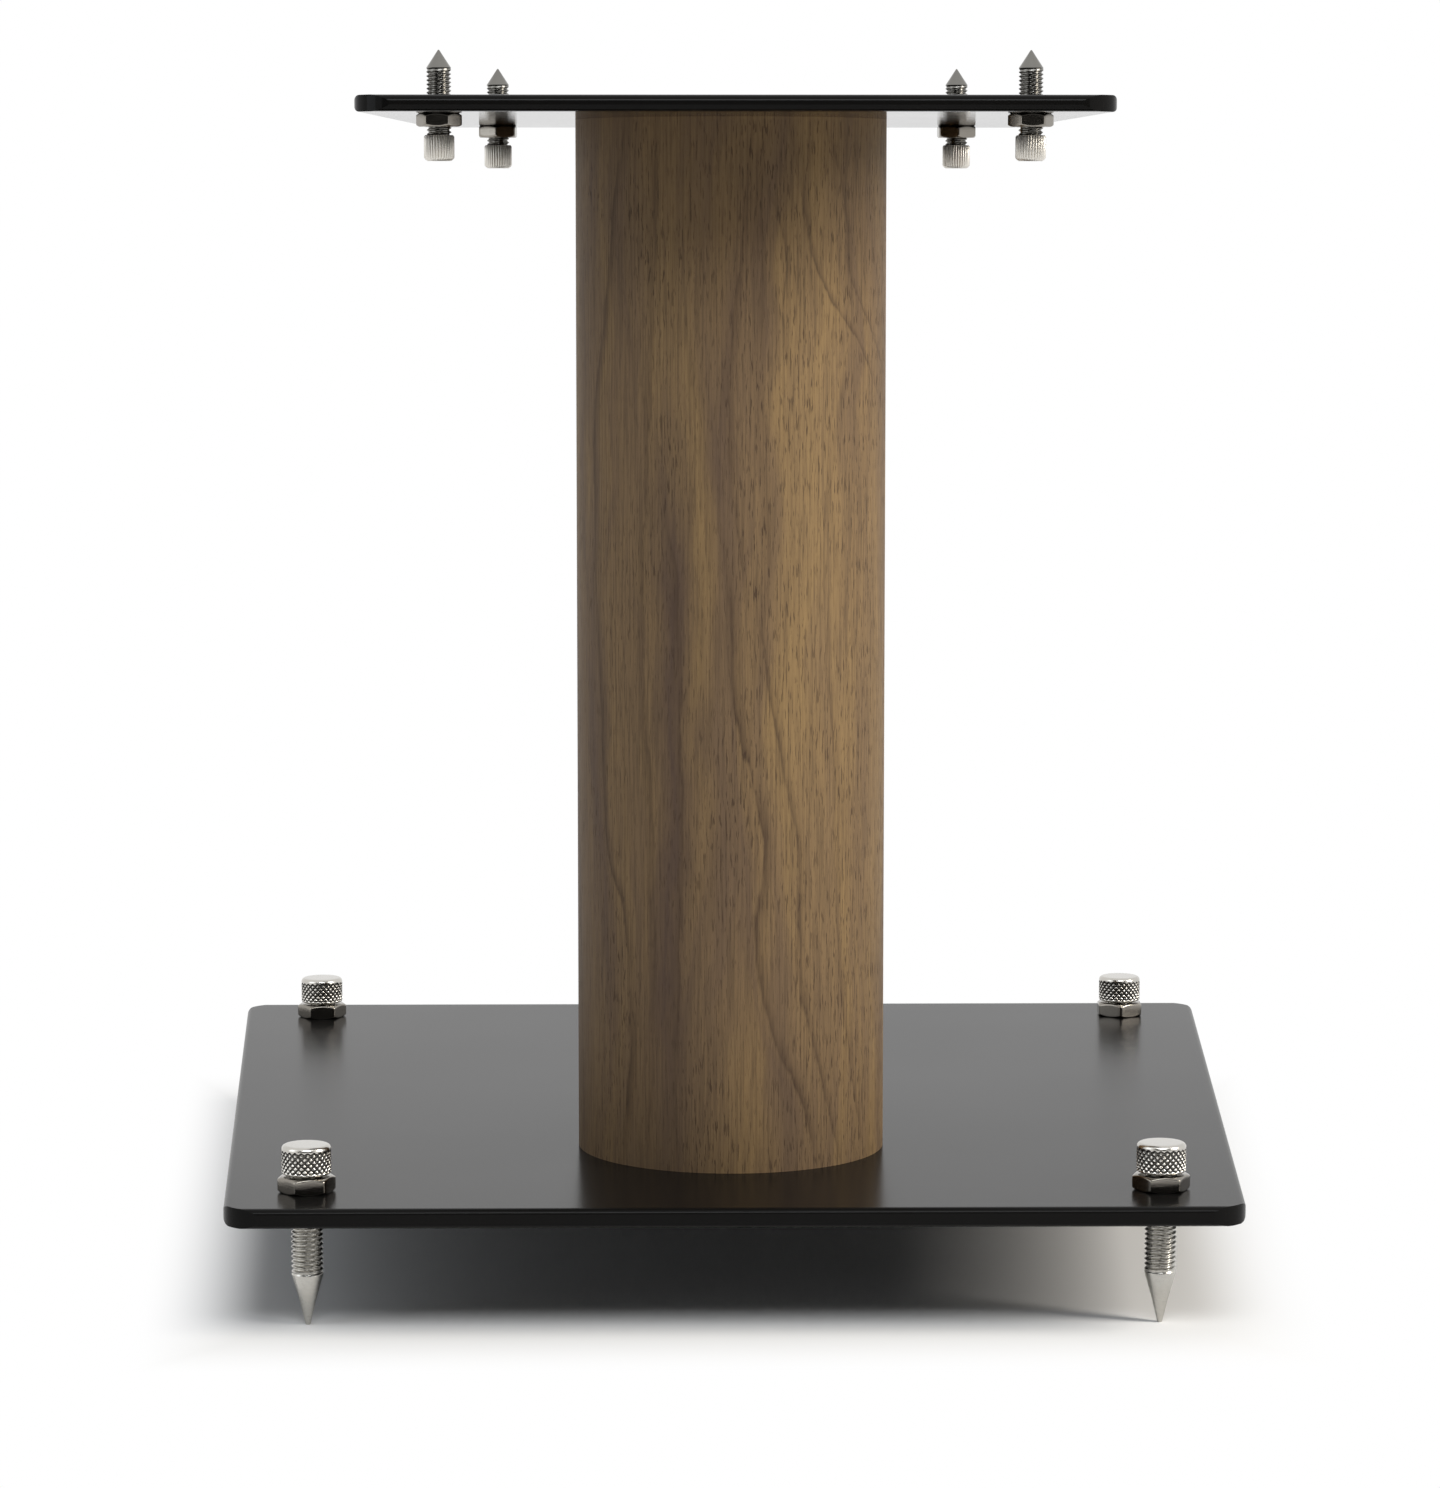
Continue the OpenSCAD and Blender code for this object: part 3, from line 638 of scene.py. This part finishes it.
def soft_nut(node, bore, material):
    """A locknut: its radius is the least of the hexagon's, flat over cos of the angle from the nearest
    flat's middle, and of the two cones that turn its corners off, all rounded over. The farthest point
    of the CAD nut is one of its corners, and gives its turn and its size"""
    around, rows, bevel = 480, 31, 0.0005
    face_share, cone_slope, corner_share = 0.985, np.sqrt(3.0), 0.6
    low, high = span(node)
    centre, _ = axis_and_radius(low, high)
    points = solid_points(node)
    reach = np.hypot(points[:, 0] - centre[0], points[:, 1] - centre[1])
    farthest = points[reach.argmax()]
    flat = reach.max() * np.cos(TURN / 12)
    corner = flat / np.cos(TURN / 12)
    soft = bpy.context.scene.stand_sizes.edge_softness
    angles = np.arange(around) * TURN / around
    corner_at = np.arctan2(farthest[1] - centre[1], farthest[0] - centre[0])
    from_flat = (angles - corner_at) % (TURN / 6) - TURN / 12
    hexagon = soft_least(flat / np.cos(from_flat), corner - soft * corner_share, soft)
    thickness = high[2] - low[2]
    rise = (1 - np.cos(np.linspace(0, np.pi, rows))) / 2 * thickness
    lower = flat * face_share + rise * cone_slope
    upper = flat * face_share + (thickness - rise) * cone_slope
    side = soft_least(soft_least(hexagon[None, :], lower[:, None], soft), upper[:, None], soft)
    inner = np.array([[bore, thickness - bevel], [bore, bevel], [bore + bevel, 0.0]])
    outer = np.array([[bore + bevel, thickness], [bore, thickness - bevel]])
    heights = np.concatenate([inner[:, 1], rise, outer[:, 1]]) + low[2]
    radii = np.concatenate([np.repeat(inner[:, :1], around, axis=1), side, np.repeat(outer[:, :1], around, axis=1)])
    points, faces, wraps = turned_surface(centre, radii, heights, angles)
    doubles = len(points) - around
    faces = np.where(faces >= doubles, faces - doubles, faces)
    put_mesh(node, "_soft", (points[:doubles], faces, wraps), material)


def knurled_cap(node, bore, seat, material):
    """An adjuster cap: a profile from the bore's ceiling down the bore, out, up the side, over the
    rounded rim and in to the middle. The side is cut by two families of V grooves that cross, each a
    wave in turns times the diamonds' number plus or less height over the diamonds' size"""
    size = bpy.context.scene.stand_sizes
    low, high = span(node)
    centre, radius = axis_and_radius(low, high)
    count = size.knurl_diamonds
    around, rows, rim, bevel, groove_slope = count * 8, 46, 0.0011, 0.0004, 2.3
    angles = np.arange(around) * TURN / around
    foot = np.array([[0, seat], [bore, seat], [bore, low[2] + bevel / 2], [bore + bevel / 2, low[2]],
                     [radius - bevel, low[2]], [radius - bevel / 3, low[2] + bevel / 3]])
    side = np.linspace(low[2] + bevel, high[2] - rim, rows)
    diamond = TURN * radius / count
    phase = angles[None, :] / TURN * count
    rise = (side[:, None] - side[0]) / diamond
    first = 1 - np.abs(2 * ((phase + rise) % 1.0) - 1)
    second = 1 - np.abs(2 * ((phase - rise) % 1.0) - 1)
    crown = np.clip(np.minimum(first, second) * groove_slope, 0, 1)
    fade = np.clip((side - low[2] - bevel) / (diamond * 0.25), 0, 1)
    fade = fade * np.clip((high[2] - rim - side) / (diamond * 0.45), 0, 1)
    knurl = radius - size.knurl_depth * (1 - crown) * fade[:, None]
    turn = np.linspace(0, np.pi / 2, 9)[1:]
    top = np.stack([radius - rim + rim * np.cos(turn), high[2] - rim + rim * np.sin(turn)], axis=1)
    disc = np.array([[radius * 0.55, high[2]], [radius * 0.2, high[2]], [0, high[2]]])
    cover = np.concatenate([top, disc])
    radii = np.concatenate([np.repeat(foot[:, :1], around, axis=1), knurl, np.repeat(cover[:, :1], around, axis=1)])
    heights = np.concatenate([foot[:, 1], side, cover[:, 1]])
    put_mesh(node, "_knurled", turned_surface(centre, radii, heights, angles, len(foot)), material)


def ribbed_head(node, bore, seat, material):
    """A knurled head, open above: the same kind of profile turned over, its side cut by straight
    grooves, a wave in turns times the number of ribs. Each row is a radius, a height and the share of
    the grooves' depth there"""
    size = bpy.context.scene.stand_sizes
    low, high = span(node)
    centre, radius = axis_and_radius(low, high)
    around, bevel, edge, lip, groove_slope = size.head_ribs * 8, 0.0008, 0.0004, 0.0002, 1.6
    angles = np.arange(around) * TURN / around
    wave = 1 - np.abs(2 * ((angles / TURN * size.head_ribs) % 1.0) - 1)
    ribs = size.head_rib_depth * (1 - np.clip(wave * groove_slope, 0, 1))
    rows = np.array([
        [0, low[2], 0], [radius * 0.4, low[2], 0], [radius - bevel, low[2], 0],
        [radius - bevel * 0.45, low[2] + bevel * 0.4, 0.1], [radius, low[2] + bevel, 1],
        [radius, (low[2] + high[2]) / 2, 1], [radius, high[2] - edge, 1],
        [radius - 0.0003, high[2], 0.3], [bore + lip, high[2], 0], [bore, high[2] - lip, 0],
        [bore, seat, 0], [0, seat, 0]])
    radii = rows[:, :1] - rows[:, 2:] * ribs[None, :]
    put_mesh(node, "_ribbed", turned_surface(centre, radii, rows[:, 1], angles), material)


def flat_sheet(name, corners, material):
    """One flat quad of the stage"""
    mesh = bpy.data.meshes.new(name)
    mesh.from_pydata(corners, [], [(0, 1, 2, 3)])
    mesh.materials.append(material)
    sheet = bpy.data.objects.new(name, mesh)
    bpy.context.scene.collection.objects.link(sheet)
    return sheet


def soft_lamp(name, place, target, size, colour, power):
    """An oblong area lamp that looks from its place at a target"""
    light = bpy.data.lights.new(name, "AREA")
    light.shape = "RECTANGLE"
    light.size, light.size_y = size
    light.energy = power
    light.color = colour
    lamp = bpy.data.objects.new(name, light)
    lamp.location = place
    lamp.rotation_euler = (Vector(target) - Vector(place)).to_track_quat("-Z", "Y").to_euler()
    bpy.context.scene.collection.objects.link(lamp)


# Operators, one for each kind of piece

class STAND_OT_stage(bpy.types.Operator):
    """Floor, backdrop light, lamps and the camera"""
    bl_idname = "stand.stage"
    bl_label = "Stage"

    def execute(self, context):
        values = context.scene.stand_stage
        high = span("base_plate")[1]
        column = sum(span("column_veneer")) / 2
        camera = bpy.data.objects.new("camera", bpy.data.cameras.new("camera"))
        context.scene.collection.objects.link(camera)
        camera.data.sensor_width = 36.0
        camera.data.lens = values.camera_lens
        camera.data.clip_end = 50.0
        camera.location = (
            column[0] + values.camera_aside, column[1] - values.camera_distance, high[2] + values.camera_height)
        camera.rotation_euler = (np.pi / 2 - values.camera_pitch, 0.0, -values.camera_pan)
        context.scene.camera = camera

        half = 6.0
        flat_sheet("floor", [(-half, -half, 0), (half, -half, 0), (half, half, 0), (-half, half, 0)],
                   floor_finish(values.shadow_reach))
        wide, tall, back = values.card_width / 2, 1.5, -1.9
        card = flat_sheet("dark_card", [(-wide, back, 0), (wide, back, 0), (wide, back, tall), (-wide, back, tall)],
                          card_finish())
        card.visible_camera = False
        for lamp, power in zip(LAMPS, (values.key_strength, values.fill_strength, values.top_strength)):
            soft_lamp(*lamp, power)

        context.scene.world = bpy.data.worlds.new("studio")
        studio = Tree(context.scene.world)
        studio.feed(studio.nodes["Background"], "Color", (1, 1, 1, 1))
        studio.feed(studio.nodes["Background"], "Strength",
                    values.sky_strength + (1.0 - values.sky_strength) * studio.background_rays())
        context.scene.view_settings.view_transform = "Standard"
        return {"FINISHED"}


class STAND_OT_plates(bpy.types.Operator):
    """Gloss lacquer on the base plate and the top plate"""
    bl_idname = "stand.plates"
    bl_label = "Plates"

    def execute(self, context):
        dress("base_plate", lacquer_finish("satin_lacquer", 0.20))
        dress("top_plate", lacquer_finish("gloss_lacquer", 0.07))
        return {"FINISHED"}


class STAND_OT_column(bpy.types.Operator):
    """Walnut veneer on the column, fibreboard for the tube and its plugs"""
    bl_idname = "stand.column"
    bl_label = "Column"

    def execute(self, context):
        dress("column_veneer", veneer_finish(*span("column_veneer")))
        board = board_finish()
        for node in ("column_tube", "top_plug", "bottom_plug"):
            dress(node, board)
        return {"FINISHED"}


class STAND_OT_fixings(bpy.types.Operator):
    """Brass inserts and plated screws that hold the plates to the column"""
    bl_idname = "stand.fixings"
    bl_label = "Fixings"

    def execute(self, context):
        colours = context.scene.stand_finishes
        brass = metal_finish("brass", colours.brass, 0.32)
        zinc = metal_finish("zinc_plate", colours.zinc, 0.34)
        for end in ("top", "bottom"):
            dress(end + "_inserts", brass)
        for end in ("top", "base"):
            dress(end + "_plate_screws", zinc)
        return {"FINISHED"}


class STAND_OT_floor_spikes(bpy.types.Operator):
    """Threaded floor spikes with smooth points"""
    bl_idname = "stand.floor_spikes"
    bl_label = "Floor spikes"

    def execute(self, context):
        steel = turned_finish("spike_steel", context.scene.stand_finishes.steel, 0.24)
        pitch = context.scene.stand_sizes.floor_thread_pitch
        for corner in CORNERS:
            threaded_spike("floor_spike_" + corner, pitch, point=0.013, blunt=0.0006, upward=False,
                           material=steel)
        return {"FINISHED"}


class STAND_OT_adjuster_caps(bpy.types.Operator):
    """Diamond-knurled caps that turn the floor spikes"""
    bl_idname = "stand.adjuster_caps"
    bl_label = "Adjuster caps"

    def execute(self, context):
        size, colour = context.scene.stand_sizes, context.scene.stand_finishes.nickel
        low, high = span("adjuster_cap_front_left")
        rim_and_bevel = 1.5
        diamond = float(np.pi * (high[0] - low[0]) * MILLIMETRES / size.knurl_diamonds)
        height = float((high[2] - low[2]) * MILLIMETRES) - rim_and_bevel
        nickel = knurled_finish("knurled_nickel_painted_light", colour, 0.15, float(size.knurl_diamonds), diamond, height)
        turned_finish("satin_nickel", colour, 0.13)
        for corner in CORNERS:
            spike_top = span("floor_spike_" + corner)[1][2]
            knurled_cap("adjuster_cap_" + corner, FLOOR_BORE, spike_top + SEAT_GAP, nickel)
        return {"FINISHED"}


class STAND_OT_locknuts(bpy.types.Operator):
    """Hexagon locknuts on the base plate and under the top plate"""
    bl_idname = "stand.locknuts"
    bl_label = "Locknuts"

    def execute(self, context):
        dark = turned_finish("dark_nickel", context.scene.stand_finishes.dark_nickel, 0.07)
        for corner in CORNERS:
            soft_nut("base_locknut_" + corner, FLOOR_BORE, dark)
            soft_nut("top_locknut_" + corner, TOP_BORE, dark)
        return {"FINISHED"}


class STAND_OT_top_spikes(bpy.types.Operator):
    """Threaded top spikes with their straight-knurled heads"""
    bl_idname = "stand.top_spikes"
    bl_label = "Top spikes"

    def execute(self, context):
        # Painted shade: the top spikes get the spikes' own steel darkened to 0.44, for the shade under the top plate
        darker = 0.44
        colour = [darker * part for part in context.scene.stand_finishes.steel]
        steel = turned_finish("top_spike_steel", colour, 0.16)
        pitch = context.scene.stand_sizes.top_thread_pitch
        nickel = bpy.data.materials["satin_nickel"]
        for corner in CORNERS:
            node = "top_spike_" + corner
            threaded_spike(node, pitch, point=0.0043, blunt=0.00015, upward=True, material=steel)
            ribbed_head("knurled_head_" + corner, TOP_BORE, span(node)[0][2] - SEAT_GAP, nickel)
        return {"FINISHED"}


class STAND_PT_panel(bpy.types.Panel):
    """Lists the pieces of the stand"""
    bl_idname = "STAND_PT_panel"
    bl_label = "Loudspeaker stand"
    bl_space_type = "VIEW_3D"
    bl_region_type = "UI"
    bl_category = "Stand"

    def draw(self, context):
        for operator in OPERATORS:
            self.layout.operator(operator.bl_idname)
        for group in (context.scene.stand_sizes, context.scene.stand_finishes, context.scene.stand_stage):
            box = self.layout.box()
            for name in group.bl_rna.properties.keys():
                if name not in ("rna_type", "name"):
                    box.prop(group, name)


GROUPS = (("stand_sizes", StandSizes), ("stand_finishes", StandFinishes), ("stand_stage", StageValues))
OPERATORS = (STAND_OT_stage, STAND_OT_plates, STAND_OT_column, STAND_OT_fixings, STAND_OT_floor_spikes,
             STAND_OT_adjuster_caps, STAND_OT_locknuts, STAND_OT_top_spikes)


def register():
    for name, group in GROUPS:
        bpy.utils.register_class(group)
        setattr(bpy.types.Scene, name, bpy.props.PointerProperty(type=group))
    for operator in OPERATORS:
        bpy.utils.register_class(operator)
    bpy.utils.register_class(STAND_PT_panel)


def unregister():
    bpy.utils.unregister_class(STAND_PT_panel)
    for operator in reversed(OPERATORS):
        bpy.utils.unregister_class(operator)
    for name, group in reversed(GROUPS):
        delattr(bpy.types.Scene, name)
        bpy.utils.unregister_class(group)


def main():
    register()
    for operator in OPERATORS:
        family, name = operator.bl_idname.split(".")
        getattr(getattr(bpy.ops, family), name)()


if __name__ == "__main__":
    main()
